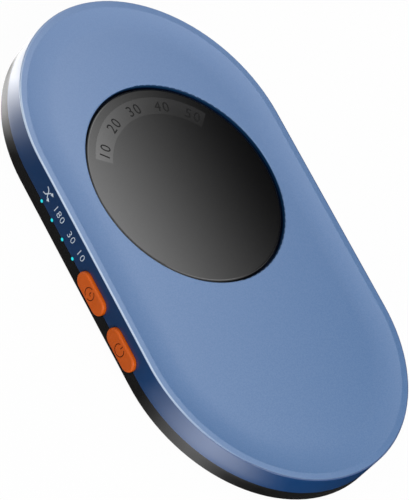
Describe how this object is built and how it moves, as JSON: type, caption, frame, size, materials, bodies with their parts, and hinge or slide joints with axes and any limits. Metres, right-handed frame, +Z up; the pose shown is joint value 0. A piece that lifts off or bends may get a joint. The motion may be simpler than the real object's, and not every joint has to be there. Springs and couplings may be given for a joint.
{
  "type": "mouse jiggler",
  "caption": "Flat pill-shaped desk device with a motor-driven turning disc in its top, side buttons, seam lights and a power inlet.",
  "frame": {"origin": "on the desk, under the middle of the casing", "axes": "+Z up from the desk, +Y along the casing towards the end with the disc, -X is the side with the buttons"},
  "size_m": [0.0811, 0.1384, 0.0106],
  "materials": {
    "blue_casing": "satin, fine sparkle; glossy dark side band",
    "black_casing": "satin",
    "smoked_disc": "gloss",
    "disc_label": "satin",
    "orange_button": "satin",
    "light_outlet": "clear, lit from behind",
    "black_moulding": "matt",
    "white_moulding": "satin",
    "brass": "turned",
    "steel": "plated",
    "dark_screw": "black plated",
    "magnet": "matt",
    "rotor_iron": "laminated",
    "board": "solder mask",
    "chip": "moulded",
    "capacitor": "satin",
    "lamp": "clear",
    "switch": "moulded",
    "plunger": "moulded",
    "red_lead": "insulation",
    "black_lead": "insulation",
    "foot": "matt"
  },
  "bodies": {
    "casing": {"top_cover": "blue_casing", "bottom_cover": "black_casing", "foot_far_right": "foot", "foot_far_left": "foot", "foot_near_right": "foot", "foot_near_left": "foot", "cover_screws": "dark_screw", "thrust_washer": "steel", "retaining_washer": "steel", "hub_screw": "steel", "dust_ring": "black_moulding", "gear_pin": "steel", "motor_can": "steel", "motor_magnet": "magnet", "motor_end_cap": "white_moulding", "shaft_bush": "brass", "motor_strap": "steel", "strap_screws": "steel", "motor_lead_red": "red_lead", "motor_lead_black": "black_lead", "main_board": "board", "board_screws": "steel", "usb_socket": "steel", "usb_contacts": "black_moulding", "led_random": "lamp", "led_180": "lamp", "led_30": "lamp", "led_10": "lamp", "light_guide": "light_outlet", "controller_chip": "chip", "motor_driver": "chip", "board_capacitor": "capacitor", "mode_switch": "switch", "power_switch": "switch"},
    "turntable": {"turntable_face": "smoked_disc", "face_label": "disc_label", "turntable_carrier": "white_moulding", "turntable_bush": "brass"},
    "reduction": {"reduction_gear": "white_moulding"},
    "worm_shaft": {"drive_worm": "brass", "motor_shaft": "steel", "motor_rotor": "rotor_iron"},
    "mode_key": {"mode_button": "orange_button", "mode_plunger": "plunger"},
    "power_key": {"power_button": "orange_button", "power_plunger": "plunger"}
  },
  "joints": [
    {"name": "disc_spin", "type": "hinge", "parent": "casing", "child": "turntable", "pos_m": [0, 0.0153, 0.00875], "axis": [0, 0, 1], "continuous": true},
    {"name": "gear_spin", "type": "hinge", "parent": "casing", "child": "reduction", "pos_m": [0, -0.01025, 0.0053], "axis": [0, 0, 1], "continuous": true},
    {"name": "worm_spin", "type": "hinge", "parent": "casing", "child": "worm_shaft", "pos_m": [0, -0.0165, 0.0053], "axis": [1, 0, 0], "continuous": true},
    {"name": "mode_press", "type": "slide", "parent": "casing", "child": "mode_key", "axis": [1, 0, 0], "range_m": [0, 0.0005], "stiffness_N_per_m": 1600, "springref_m": -0.0002},
    {"name": "power_press", "type": "slide", "parent": "casing", "child": "power_key", "axis": [1, 0, 0], "range_m": [0, 0.0005], "stiffness_N_per_m": 1600, "springref_m": -0.0002}
  ],
  "couplings": [
    {"joint": "gear_spin", "follows": "disc_spin", "ratio": -7.5},
    {"joint": "worm_spin", "follows": "disc_spin", "ratio": 180}
  ]
}
